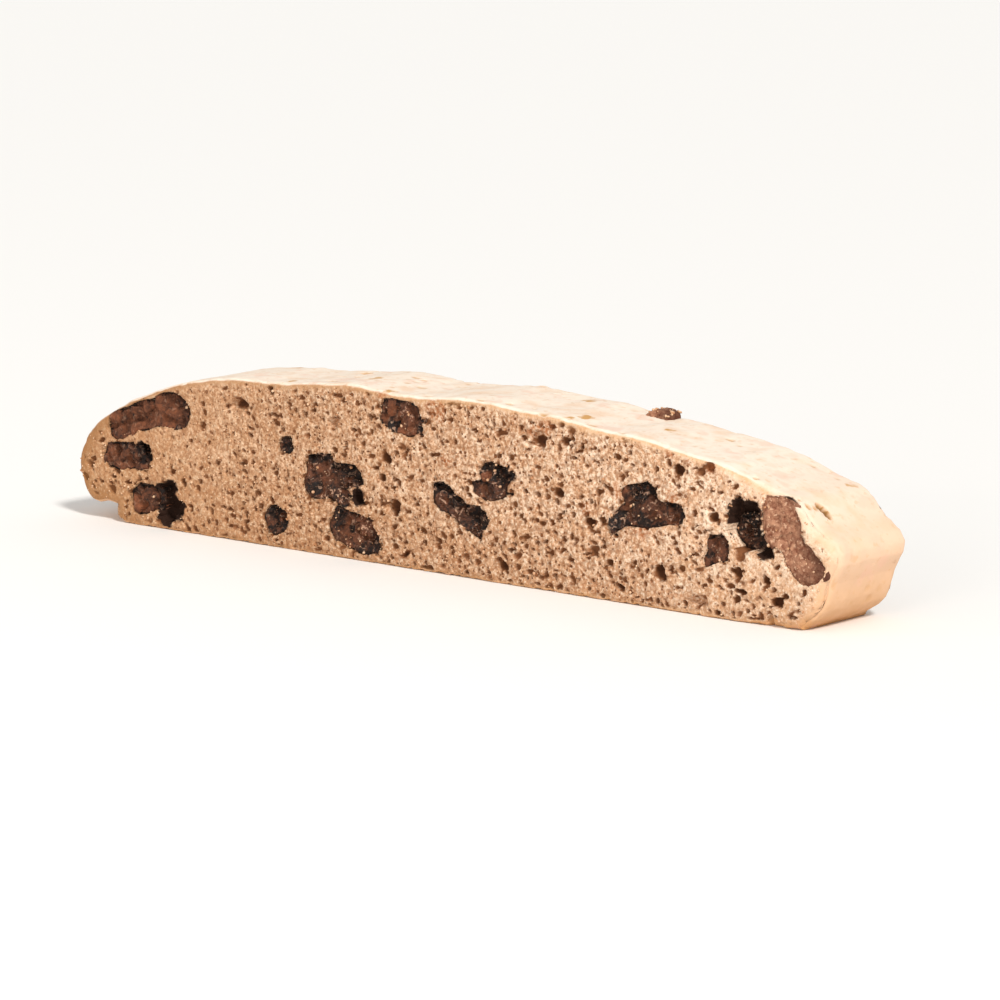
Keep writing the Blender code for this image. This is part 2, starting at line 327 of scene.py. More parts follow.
# Single holes that stand out in the front cut: x, z, width, height and depth
SINGLE_HOLES = (
    (-78.4, 7.0, 1.5, 1.5, 0.7), (-72.0, 5.5, 1.5, 1.6, 0.8), (-55.0, 8.5, 1.7, 1.4, 1.0),
    (-10.2, 14.1, 1.6, 1.6, 1.3), (-9.3, 17.4, 1.9, 1.5, 1.4), (15.0, 3.0, 2.2, 1.5, 1.4),
    (26.5, 15.8, 2.0, 1.7, 1.2), (28.0, 24.3, 1.8, 1.4, 1.0), (32.3, 11.8, 2.1, 1.7, 1.3),
    (50.0, 21.7, 2.2, 1.9, 1.4), (55.9, 23.2, 2.2, 2.0, 1.2), (56.5, 15.5, 1.9, 1.8, 1.2),
    (61.5, 7.5, 1.8, 1.5, 1.3), (62.0, 4.7, 2.8, 1.1, 1.3), (67.0, 7.0, 1.7, 1.5, 1.3),
    (69.0, 3.8, 2.4, 1.5, 1.4), (46.5, 5.8, 2.6, 2.2, 1.6), (38.0, 22.6, 1.5, 1.3, 0.9),
    (-41.8, 23.0, 2.8, 1.8, 1.3), (22.2, 23.3, 2.2, 1.7, 1.3), (-7.9, 9.7, 2.4, 2.6, 1.3), (54.3, 22.1, 2.0, 1.2, 0.8),
)
single = np.zeros(len(points))
for x, z, width, height, deep in SINGLE_HOLES:
    spread = ((ragged[:, 0] - x) * 2 / width) ** 2 + ((ragged[:, 2] - z) * 2 / height) ** 2
    bowl = deep * np.sqrt(np.clip(1 - spread, 0, 1)) ** 0.7
    single = np.where(on_front, np.maximum(single, bowl), single)

# Bubbles in two sizes, larger and closer towards the base and the right end
warp = np.stack([rough_noise(flat, 0.8, 2, 31), rough_noise(flat, 0.8, 2, 33)], 1)
bent = (flat + 0.26 * warp) * (0.82, 1.0)


def openness(centre):
    """How open the crumb is, from 0 to 1."""
    along = centre[:, 0] / 0.82
    along = np.where(along > 250, along - 500, along)
    low = 1 - smooth_step(2, 15, centre[:, 1])
    right = smooth_step(-70, 10, along)
    patch = smooth_step(-0.3, 0.5, soft_noise(centre, 6.5, 47))
    return np.clip(0.05 + 0.45 * low + 0.15 * right + 0.35 * patch, 0, 1)


large = bubbles(bent, 2.7, 0.38, 0.90, lambda centre: 0.50 * openness(centre) ** 1.5, 41)
middling = 1.4 * bubbles(bent, 1.25, 0.28, 0.56, lambda centre: 0.24 + 0.55 * openness(centre), 51)
toward_end = np.where(points[:, 0] > 0, 1.6, 0.8) * smooth_step(50, 76, np.abs(points[:, 0]))
toward_base = 1 - smooth_step(1.2, 3.0, points[:, 2])
dense = smooth_step(0.4, 1.6, from_crust * (1 + 2 * toward_base) / (1 + toward_end))
gritty = (0.4 + 0.6 * dense) * (1 - 0.35 * smooth_step(30, 72, np.abs(points[:, 0] - 4)))
pores = np.maximum.reduce([single, large * dense, middling * dense])
coarse = 0.7 + 0.5 * openness(flat * (0.82, 1.0))
sand = 0.16 + (0.10 * soft_noise(flat, 0.75, 71) + 0.14 * coarse * rough_noise(flat, 1.7, 2, 75)) * gritty

# The knife and the oven rounded the edge a little, and more at the low right end
low_right = smooth_step(58, 74, points[:, 0]) * (1 - 0.6 * smooth_step(8, 22, points[:, 2]))
edge_width = 0.9 + 1.8 * low_right
edge_depth = 0.28 + 0.85 * low_right
worn = np.clip(1 - from_crust / edge_width, 0, 1) ** 2 * edge_depth
worn *= 1 + (0.5 - 0.35 * low_right) * rough_noise(flat, 1.3, 2, 78)
depth = np.maximum(pocket, pores) + np.clip(sand, 0, None) + worn
points[:, 1] += np.where(on_front, depth, 0) - np.where(on_back, depth, 0)

# The crust: dimples and pits in patches, a few pinholes, and an edge that the knife wore
DIMPLE_LENGTH = 1.6
patchy = smooth_step(-0.35, 0.35, soft_noise(points, 13.0, 85))
dimples = dents(points / (DIMPLE_LENGTH, 1, 1), 2.7, 1.1, 0.8, 91) * patchy
pits = dents(points, 2.2, 0.75, 0.5, 104) * (0.3 + 0.7 * patchy)
pinholes = dents(points, 3.6, 0.40, 0.45, 98)
relief = 0.10 * (1 + soft_noise(points, 4.2, 101)) + 0.06 * (1 + rough_noise(points, 1.7, 2, 113))
edge = np.clip(1 - away_from_cut / 0.9, 0, 1) ** 2 * (0.24 + 0.10 * soft_noise(points, 1.4, 87))
edge += np.clip(1 - away_from_cut / 2.6, 0, 1) ** 2 * 0.45 * low_right
on_crown = 0.25 + 0.75 * smooth_step(12, 20, points[:, 2])
sunk = (0.42 * smooth_step(0, 0.6, dimples) + 0.22 * pits + 0.45 * np.sqrt(pinholes)) * on_crown + relief + edge

# The base lay flat on its tray, but the knife broke bits off its edge: one at x and of a width
CHIP_X, CHIP_WIDTH = 67.7, 1.0
chipped = 0.45 * np.clip(rough_noise(points * (1, 0, 0), 1.1, 3, 131), 0, 1)
chipped += 1.1 * np.exp(-((points[:, 0] - CHIP_X) / CHIP_WIDTH) ** 4) * (points[:, 1] < 0)
chipped *= np.clip(1 - away_from_cut / 1.8, 0, 1) ** 2
sunk = np.where(points[:, 2] < 0.2, 0.3 * sunk + chipped, sunk)

# A slit and a pinhole in the crown near the right end
SLIT = np.array(((73.5, -5.0), (74.6, -4.4)))
PINHOLE = np.array((64.0, -8.3))
crown = points[:, :2]
slit_way = SLIT[1] - SLIT[0]
along = np.clip((crown - SLIT[0]) @ slit_way / (slit_way @ slit_way), 0, 1)
from_slit = np.linalg.norm(crown - SLIT[0] - along[:, None] * slit_way, axis=1)
from_pinhole = np.linalg.norm(crown - PINHOLE, axis=1)
gash = 1.6 * np.clip(1 - from_slit / 0.75, 0, 1) + 0.9 * np.clip(1 - from_pinhole / 0.6, 0, 1)
gash *= skin & (points[:, 2] > HEIGHT / 2)
sunk = np.where(on_crust, sunk + gash, 0)

# Both skins give way where they meet, so that the edge stays one clean surface
deepest = sunk[nearest_rim]
pull = deepest * np.clip(1 - from_crust / (0.4 + 2.2 * deepest), 0, 1) ** 2
inward = points - points[nearest_rim]
inward[:, 1] = 0
inward /= np.maximum(np.linalg.norm(inward, axis=1), TINY)[:, None]
inner = on_face & ~on_crust
way_out = normals * (1, 0, 1)
way_out /= np.maximum(np.linalg.norm(way_out, axis=1), TINY)[:, None]
for tip, sign in ((points[:, 0].max(), 1), (points[:, 0].min(), -1)):
    on_nose = (1 - smooth_step(1.0, 4.0, np.abs(tip - points[:, 0])))[:, None]
    way_out = way_out * (1 - on_nose) + on_nose * (sign, 0, 0)
    inward = inward * (1 - on_nose) - on_nose * (sign, 0, 0)
moved = points.copy()
moved[on_crust] -= (way_out * sunk[:, None])[on_crust]
moved[inner] += (inward * pull[:, None])[inner]
for cut, sign in ((on_front, 1), (on_back, -1)):
    rim_depth = np.zeros((COLUMNS + 1, ROWS + 1))
    corner = cut & on_crust
    rim_depth[grid_place[0][corner], grid_place[1][corner]] = depth[corner]
    drawn_in = rim_depth[grid_place]
    drawn_in = drawn_in * np.clip(1 - away_from_cut / (0.4 + 2.2 * drawn_in), 0, 1) ** 2
    near = skin & (points[:, 1] * sign < 0)
    moved[near, 1] += sign * drawn_in[near]
points = moved
points[:, 2] = np.maximum(points[:, 2], 0.0)
move_points(slice_mesh, points)

# What the crumb's colour follows: chocolate, crust and the oven's heat, with painted shade in the pores, on the pocket
# walls, in the deep hollows and at the left end
# Brown smears beside the chocolate, plus painted shade on the pocket walls under the chunks and in the deep hollows
smear = 1 - smooth_step(0.0, 0.35, from_chocolate - 0.25 * (1 + rough_noise(flat, 1.4, 2, 121)))
smear *= 0.7 * smooth_step(-0.1, 0.4, soft_noise(flat, 2.6, 125))
stain_and_shade = np.maximum.reduce([smear, beside_melted_and_shaded, 0.9 * holds_chunk])
stain_and_shade = np.where(on_face, stain_and_shade, 0)
crusty = np.where(on_crust, 1.0, 1 - smooth_step(0.0, 0.35 + 2.2 * smooth_step(62, 74, points[:, 0]), from_crust))
# The band at the left end is painted shade: a darker crumb edge at that end
left_end_shade = smooth_step(-60, -76, points[:, 0]) * (1 - smooth_step(1.0, 4.0, from_crust))
wavering = from_crust * (1 + toward_base) + 0.4 * soft_noise(flat, 2.5, 151)
baked_line = smooth_step(0.1, 0.4, from_crust) * (1 - smooth_step(0.5, 1.6, wavering))
# Painted shade in the pores: the deeper and wider a pore, the darker it is painted
wide_pore = smooth_step(0.45, 1.2, np.maximum(large * dense, single))
shadowed = 0.6 * smooth_step(0.05, 0.40, pores) + 0.4 * wide_pore
marked = np.clip((smooth_step(0.05, 0.45, dimples) + pits + pinholes * 2) * on_crown + gash * 2, 0, 1)
on_tip = np.hypot(ragged[:, 0] - SMEAR_ON_CRUST[0], ragged[:, 2] - SMEAR_ON_CRUST[1]) / 1.8 + away_from_cut / 1.6
tip = np.where(skin | on_face, 1 - smooth_step(0.8, 1.0, on_tip), 0) * (points[:, 1] < 0)
add_attribute(slice_mesh, "crust", crusty * (1 - tip))
add_attribute(slice_mesh, "grit", np.where(on_face, gritty, 0.3))
add_attribute(slice_mesh, "rim", np.where(on_face, np.maximum(0.75 * baked_line, left_end_shade), 0))
add_attribute(slice_mesh, "pore_shade", np.where(on_face, shadowed, np.clip(gash * 1.2 + pinholes - 0.4, 0, 1)))
add_attribute(slice_mesh, "stain_and_shade", np.maximum(stain_and_shade, tip))
add_attribute(slice_mesh, "toast", spots(TOASTED))
add_attribute(slice_mesh, "mark", np.where(on_crust, marked, 0))


def finished(name, mesh, material, slot, *nodes):
    """A finished piece on the slice's body, in place of the CAD nodes that it stands for."""
    piece = bpy.data.objects.new(name, mesh)
    bpy.context.scene.collection.objects.link(piece)
    mesh.materials.clear()
    mesh.materials.append(material)
    mesh.shade_smooth()
    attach(piece, "root")
    if nodes:
        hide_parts(*nodes)
    return piece


def apply_modifiers(piece):
    """Makes what the modifiers give the piece's own mesh."""
    evaluated = piece.evaluated_get(bpy.context.evaluated_depsgraph_get())
    mesh = bpy.data.meshes.new_from_object(evaluated)
    piece.modifiers.clear()
    piece.data = mesh
    return mesh


def linear(hex_colour):
    """An sRGB hex colour as the linear values that a shader takes."""
    shares = [int(hex_colour[i:i + 2], 16) / 255 for i in (1, 3, 5)]
    return [s / 12.92 if s <= 0.04045 else ((s + 0.055) / 1.055) ** 2.4 for s in shares] + [1.0]


def add(tree, kind, settings=None, links=None):
    """Adds a node of a kind, with its settings and the links into its sockets."""
    node = tree.nodes.new(kind)
    for name, value in (settings or {}).items():
        if isinstance(name, int) or name in node.inputs:
            node.inputs[name].default_value = value
        else:
            setattr(node, name, value)
    for name, source in (links or {}).items():
        tree.links.new(source, node.inputs[name])
    return node


# Baked egg dough: matt and slightly open, so light sinks in a little and nothing shines
baked = bpy.data.materials.new("baked_egg_dough")
baked.use_nodes = True
tree = baked.node_tree
shader = tree.nodes["Principled BSDF"]
place = add(tree, "ShaderNodeTexCoord").outputs["Object"]
in_mm = add(tree, "ShaderNodeVectorMath", {"operation": "SCALE", "Scale": 1 / MM}, {0: place}).outputs[0]
axes = add(tree, "ShaderNodeSeparateXYZ", None, {0: in_mm}).outputs
read = {name: add(tree, "ShaderNodeAttribute", {"attribute_name": name}).outputs["Fac"]
        for name in ("crust", "grit", "rim", "pore_shade", "stain_and_shade", "toast", "mark")}


def mixed(share, below, above):
    """The colour between two others; each is a hex colour or a socket."""
    colours = {6: below, 7: above}
    settings = {name: linear(colour) for name, colour in colours.items() if isinstance(colour, str)}
    links = {name: colour for name, colour in colours.items() if not isinstance(colour, str)}
    return add(tree, "ShaderNodeMix", {"data_type": "RGBA", **settings}, {0: share, **links}).outputs[2]


def ranged(source, low, high, first=0.0, last=1.0):
    """A value that goes from first to last while its source goes from low to high."""
    settings = {"From Min": low, "From Max": high, "To Min": first, "To Max": last}
    return add(tree, "ShaderNodeMapRange", settings, {0: source}).outputs[0]


# Crumb: painted darker on the left and paler on the right, a painted shade of the light from the right; browner below,
# in sandy grains
PATCH = 3.0
GRAIN = 0.45
patches = add(tree, "ShaderNodeTexNoise", {"Scale": 1 / PATCH, "Detail": 3.0}, {"Vector": in_mm}).outputs["Fac"]
grains = add(tree, "ShaderNodeTexNoise", {"Scale": 1 / GRAIN, "Detail": 2.0, "Roughness": 0.7},
             {"Vector": in_mm}).outputs["Fac"]
painted_light_rightward = ranged(axes["X"], -70.0, 60.0)
tan = mixed(painted_light_rightward, "#B78760", "#DFB592")
pale = mixed(painted_light_rightward, "#C99A73", "#F0D4B9")
ground = mixed(ranged(patches, 0.38, 0.62), tan, pale)
ground = mixed(ranged(axes["Z"], 14.0, 0.0, 0.0, 0.55), ground, "#AE7F56")
LUMP = 0.8
lumpy = add(tree, "ShaderNodeTexVoronoi", {"Scale": 1 / LUMP, "Randomness": 1.0}, {"Vector": in_mm}).outputs["Distance"]
# Creases between the lumps are painted darker: painted shade
crease_shade_share = ranged(lumpy, 0.50, 0.72, 0.0, 0.55)
grain_share = ranged(grains, 0.36, 0.54, 0.0, 1.0)
# Grains: low ones darker and raised ones paler, partly the crumb's own speckle and partly painted shade and highlight
dark_grain_and_shade = mixed(painted_light_rightward, "#9C6B46", "#B27F5B")
softened = add(tree, "ShaderNodeMath", {"operation": "ADD", "use_clamp": True},
               {0: grain_share, 1: ranged(read["grit"], 0.3, 1.0, 0.6, 0.0)}).outputs[0]
sandy = mixed(softened, dark_grain_and_shade, ground)
# Paler raised grains: partly a painted highlight
pale_grain_and_highlight = mixed(painted_light_rightward, "#E4C6A3", "#F8E8D3")
sandy = mixed(ranged(grains, 0.54, 0.68, 0.0, 0.6), sandy, pale_grain_and_highlight)
crease_shaded = add(tree, "ShaderNodeMath", {"operation": "MULTIPLY"},
              {0: crease_shade_share, 1: ranged(read["grit"], 0.35, 0.95)}).outputs[0]
sandy = mixed(crease_shaded, sandy, "#8C5D3B")

# Pores too fine for the mesh: dark pinholes of 0.2 to 0.5 mm, in two sizes, a painted shade for holes that the mesh
# does not have
pinpricks = []
for spacing, seed_shift in ((1.05, 0.0), (0.6, 31.0)):
    moved = add(tree, "ShaderNodeVectorMath", {"operation": "ADD", 1: (seed_shift, 0, 0)}, {0: in_mm}).outputs[0]
    cells = add(tree, "ShaderNodeTexVoronoi", {"Scale": 1 / spacing}, {"Vector": moved})
    chosen = add(tree, "ShaderNodeSeparateColor", None, {0: cells.outputs["Color"]}).outputs[0]
    size = ranged(chosen, 0.45, 1.0, 0.0, 0.36)
    inner = add(tree, "ShaderNodeMath", {"operation": "SUBTRACT"}, {0: size, 1: cells.outputs["Distance"]}).outputs[0]
    pinpricks.append(ranged(inner, 0.0, 0.08))
pricked = add(tree, "ShaderNodeMath", {"operation": "MAXIMUM"}, {0: pinpricks[0], 1: pinpricks[1]}).outputs[0]
pricked = add(tree, "ShaderNodeMath", {"operation": "MULTIPLY"},
              {0: pricked, 1: ranged(read["grit"], 0.35, 0.95, 0.15, 1.0)}).outputs[0]
pinprick_shaded = mixed(pricked, sandy, "#7A4A2A")
# Painted shade in the pores, darker the deeper they are
pore_shaded = mixed(ranged(read["pore_shade"], 0.0, 0.6), pinprick_shaded, "#7E4F2F")
pore_shaded = mixed(ranged(read["pore_shade"], 0.6, 1.0), pore_shaded, "#4C2A15")
# A browned line along the cut edge, darker to the left: partly baked colour and partly painted shade at the left end
browned_and_shaded = mixed(ranged(axes["X"], -60.0, 50.0), "#98693F", "#D5A473")
rimmed = mixed(ranged(read["rim"], 0.0, 1.0, 0.0, 0.75), pore_shaded, browned_and_shaded)
toast_share = add(tree, "ShaderNodeMath", {"operation": "MULTIPLY"},
                  {0: read["toast"], 1: ranged(grains, 0.62, 0.38, 0.15, 0.75)}).outputs[0]
toasted = mixed(toast_share, rimmed, "#A5633A")
# Chocolate stain, with painted shade on the pocket walls and in the deep hollows
stained_and_shaded = mixed(read["stain_and_shade"], toasted, "#2A1509")

# Crust: cream on the crown, peach on the ends and golden brown near the base
high = ranged(axes["Z"], 0.0, 24.0)
ramp = add(tree, "ShaderNodeValToRGB", None, {0: high})
ramp.color_ramp.elements[0].color = linear("#C8935F")
ramp.color_ramp.elements[1].color = linear("#EEDFCE")
for position, colour in ((0.10, "#D6A980"), (0.40, "#E3BD9D"), (0.75, "#E6CEB8")):
    ramp.color_ramp.elements.new(position).color = linear(colour)
blotch = add(tree, "ShaderNodeTexNoise", {"Scale": 1 / 5.0, "Detail": 3.0, "Roughness": 0.6},
             {"Vector": in_mm}).outputs["Fac"]
freckles = add(tree, "ShaderNodeTexNoise", {"Scale": 1 / 1.1, "Detail": 2.0}, {"Vector": in_mm}).outputs["Fac"]
tinted = mixed(ranged(blotch, 0.50, 0.68, 0.0, 0.5), ramp.outputs[0], "#E6BC98")
tinted = mixed(ranged(blotch, 0.45, 0.34, 0.0, 0.4), tinted, "#E8B8A0")
tinted = mixed(ranged(freckles, 0.60, 0.72, 0.0, 0.35), tinted, "#D9A878")
# Tan flecks on the crown: partly the crust's own marks and partly painted shade of small dents
FLECK_SPACING = 3.0
squeezed = add(tree, "ShaderNodeVectorMath", {"operation": "MULTIPLY", 1: (0.7, 0.5, 1.0)}, {0: in_mm}).outputs[0]
wobble = add(tree, "ShaderNodeTexNoise", {"Scale": 1 / 1.2, "Detail": 2.0}, {"Vector": in_mm}).outputs["Color"]
bent_place = add(tree, "ShaderNodeVectorMath", {"operation": "MULTIPLY_ADD", 1: (1.4, 1.4, 1.4)},
                 {0: wobble, 2: squeezed}).outputs[0]
flecks = add(tree, "ShaderNodeTexVoronoi", {"Scale": 1 / FLECK_SPACING}, {"Vector": bent_place})
fleck_pick = add(tree, "ShaderNodeSeparateColor", None, {0: flecks.outputs["Color"]}).outputs[0]
fleck_size = ranged(fleck_pick, 0.35, 1.0, 0.0, 0.34)
fleck_in = add(tree, "ShaderNodeMath", {"operation": "SUBTRACT"},
               {0: fleck_size, 1: flecks.outputs["Distance"]}).outputs[0]
fleck_share = add(tree, "ShaderNodeMath", {"operation": "MULTIPLY"},
                  {0: ranged(fleck_in, 0.0, 0.10), 1: ranged(blotch, 0.40, 0.55, 0.2, 0.95)}).outputs[0]
fleck_share = add(tree, "ShaderNodeMath", {"operation": "MULTIPLY"},
                  {0: fleck_share, 1: ranged(axes["Z"], 10.0, 20.0, 0.2, 1.0)}).outputs[0]
flecked_and_shaded = mixed(fleck_share, tinted, "#C79455")
skinned = mixed(ranged(read["mark"], 0.0, 1.0, 0.0, 0.95), flecked_and_shaded, "#BE8B4C")
# Painted shade in the slit and the pinholes of the crust
skinned = mixed(read["pore_shade"], skinned, "#4C2B15")
rind = mixed(read["crust"], stained_and_shaded, skinned)
tree.links.new(rind, shader.inputs["Base Color"])
shader.inputs["Roughness"].default_value = 0.85
shader.inputs["Specular IOR Level"].default_value = 0.25
prick_depth = add(tree, "ShaderNodeMath", {"operation": "MULTIPLY_ADD", 1: -1.0}, {0: pricked, 2: grains}).outputs[0]
surface = add(tree, "ShaderNodeMath", {"operation": "MULTIPLY_ADD", 1: -0.8}, {0: lumpy, 2: prick_depth}).outputs[0]
sand_bump = add(tree, "ShaderNodeBump", {"Distance": 0.25 * MM},
                {"Height": surface, "Strength": ranged(read["grit"], 0.3, 1.0, 0.25, 0.9)}).outputs[0]
geometry = add(tree, "ShaderNodeNewGeometry").outputs["Normal"]
crumb_bump = add(tree, "ShaderNodeMix", {"data_type": "VECTOR"}, {0: read["crust"], 4: sand_bump, 5: geometry})
tree.links.new(crumb_bump.outputs[1], shader.inputs["Normal"])

baked_slice = finished("biscotti_slice", slice_mesh, baked, "crumb", "biscuit")
slice_mesh.calc_loop_triangles()
thin = baked_slice.modifiers.new("even out", "DECIMATE")
thin.ratio = SLICE_TRIANGLES / len(slice_mesh.loop_triangles)
slice_mesh = apply_modifiers(baked_slice)

# ---------------------------------------------------------------------------
# The chocolate. Dark baking chunks, broken and chopped from a slab. They half melted in
# the oven and set again, and the knife tore or smeared them where it passed.

FRONT_VOXEL = 0.17
BACK_VOXEL = 0.25


def flakes(places, size, seed):
    """Flat flakes that tilt at random, as on a broken face, and a random number for each."""
    home = np.floor(places / size).astype(np.int64)
    nearest = np.full(len(places), np.inf)
    height = np.zeros(len(places))
    own = np.zeros(len(places))
    for which in range(27):
        cell = home + (which // 9 - 1, which // 3 % 3 - 1, which % 3 - 1)
        centre = (cell + np.stack([hashed(cell, seed + n) for n in range(3)], 1)) * size
        tilt = np.stack([hashed(cell, seed + n) for n in (3, 4, 5)], 1) * 2 - 1
        away = places - centre
        apart = np.linalg.norm(away, axis=1)
        height = np.where(apart < nearest, np.sum(away * tilt, axis=1), height)
        own = np.where(apart < nearest, hashed(cell, seed + 6), own)
        nearest = np.minimum(apart, nearest)
    return height, own


# Dark chocolate: brown on its broken faces, glossy where it melted, and painted near black where its face lies deeper
# and along its right and top edges, a painted shade
dark = bpy.data.materials.new("dark_baking_chocolate")
dark.use_nodes = True
tree = dark.node_tree
shader = tree.nodes["Principled BSDF"]
place = add(tree, "ShaderNodeTexCoord").outputs["Object"]
in_mm = add(tree, "ShaderNodeVectorMath", {"operation": "SCALE", "Scale": 1 / MM}, {0: place}).outputs[0]
tone = add(tree, "ShaderNodeAttribute", {"attribute_name": "tone"}).outputs["Fac"]
shine = add(tree, "ShaderNodeAttribute", {"attribute_name": "shine"}).outputs["Fac"]
mottle = add(tree, "ShaderNodeTexNoise", {"Scale": 1 / 0.6, "Detail": 4.0, "Roughness": 0.7},
             {"Vector": in_mm}).outputs["Fac"]
tone_share = add(tree, "ShaderNodeMath", {"operation": "ADD", "use_clamp": True},
                 {0: tone, 1: ranged(mottle, 0.3, 0.7, -0.28, 0.28)}).outputs[0]
# Lighter patches where the chocolate is glossier: painted highlights, partly scuffs
scuffs_and_highlights = add(tree, "ShaderNodeTexNoise", {"Scale": 1 / 0.9, "Detail": 3.0, "Roughness": 0.7, "Distortion": 0.6},
             {"Vector": in_mm}).outputs["Fac"]
scuff_and_highlight_share = add(tree, "ShaderNodeMath", {"operation": "MULTIPLY"},
                  {0: ranged(scuffs_and_highlights, 0.57, 0.63, 0.0, 0.85), 1: ranged(shine, 0.0, 0.6, 0.25, 1.0)}).outputs[0]
broken = mixed(tone_share, "#150803", "#925637")
tree.links.new(mixed(scuff_and_highlight_share, broken, "#C39A80"), shader.inputs["Base Color"])
tree.links.new(ranged(shine, 0.0, 1.0, 0.8, 0.22), shader.inputs["Roughness"])
shader.inputs["Specular IOR Level"].default_value = 0.3
fine = add(tree, "ShaderNodeTexNoise", {"Scale": 1 / 0.8, "Detail": 4.0, "Roughness": 0.6},
           {"Vector": in_mm}).outputs["Fac"]
rough = add(tree, "ShaderNodeBump", {"Distance": 0.9 * MM},
            {"Height": fine, "Strength": ranged(shine, 0.0, 1.0, 0.4, 1.0)}).outputs[0]
tree.links.new(rough, shader.inputs["Normal"])

# The same chocolate under a rubbed-in film of crumb: plum brown, matt and lumpy
dusty = bpy.data.materials.new("crumb_dusted_chocolate")
dusty.use_nodes = True
tree = dusty.node_tree
shader = tree.nodes["Principled BSDF"]
place = add(tree, "ShaderNodeTexCoord").outputs["Object"]
in_mm = add(tree, "ShaderNodeVectorMath", {"operation": "SCALE", "Scale": 1 / MM}, {0: place}).outputs[0]
tone = add(tree, "ShaderNodeAttribute", {"attribute_name": "tone"}).outputs["Fac"]
mottle = add(tree, "ShaderNodeTexNoise", {"Scale": 1 / 0.9, "Detail": 4.0, "Roughness": 0.7},
             {"Vector": in_mm}).outputs["Fac"]
specks = add(tree, "ShaderNodeTexNoise", {"Scale": 1 / 0.5, "Detail": 1.0}, {"Vector": in_mm}).outputs["Fac"]
film = mixed(ranged(mottle, 0.36, 0.64), "#73432F", "#B9886B")
film = mixed(ranged(specks, 0.62, 0.70, 0.0, 0.7), film, "#DDB394")
tree.links.new(mixed(tone, "#4A271B", film), shader.inputs["Base Color"])
shader.inputs["Roughness"].default_value = 0.8
shader.inputs["Specular IOR Level"].default_value = 0.2
rough = add(tree, "ShaderNodeBump", {"Strength": 0.8, "Distance": 0.25 * MM}, {"Height": mottle}).outputs[0]
tree.links.new(rough, shader.inputs["Normal"])

FINISH = {"chocolate": dark, "chocolate_dusty": dusty}

# How each chunk in the front cut broke: how far its face dips all over and towards its right
# and its top, the size of its flakes, how brown and how glossy it is, and its crumbs
CHUNK_LOOKS = {
    "chocolate_front_01": (0.25, 0.5, 0.2, 2.8, 0.76, 0.0, 3),
    "chocolate_front_02": (0.25, 0.5, 0.2, 2.6, 0.72, 0.0, 2),
    "chocolate_front_03": (0.25, 0.3, 0.2, 2.6, 0.74, 0.0, 2),
    "chocolate_front_04": (0.60, 1.4, 0.8, 1.6, 0.30, 0.7, 4),
    "chocolate_front_05": (0.50, 1.2, 1.0, 1.5, 0.40, 0.9, 3),
    "chocolate_front_06": (0.40, 2.0, 1.0, 1.9, 0.42, 0.6, 34),
    "chocolate_front_07": (0.35, 0.8, 1.0, 1.9, 0.40, 0.5, 44),
    "chocolate_front_08": (0.25, 0.9, 0.3, 2.2, 0.62, 0.35, 26),
    "chocolate_front_09": (0.30, 1.1, 1.2, 2.0, 0.40, 1.0, 6),
    "chocolate_front_10": (0.35, 1.4, 1.6, 1.8, 0.36, 0.6, 24),
    "chocolate_front_11": (0.50, 0.6, 0.6, 2.2, 0.40, 0.9, 20),
    "chocolate_front_12": (0.45, 0.8, 0.2, 2.0, 0.70, 0.3, 10),
    "chocolate_front_13": (2.20, 0.6, 1.2, 1.9, 0.12, 0.8, 5),
    "chocolate_front_14": (0.05, 0.1, 0.0, 1.8, 1.00, 0.0, 40),
}
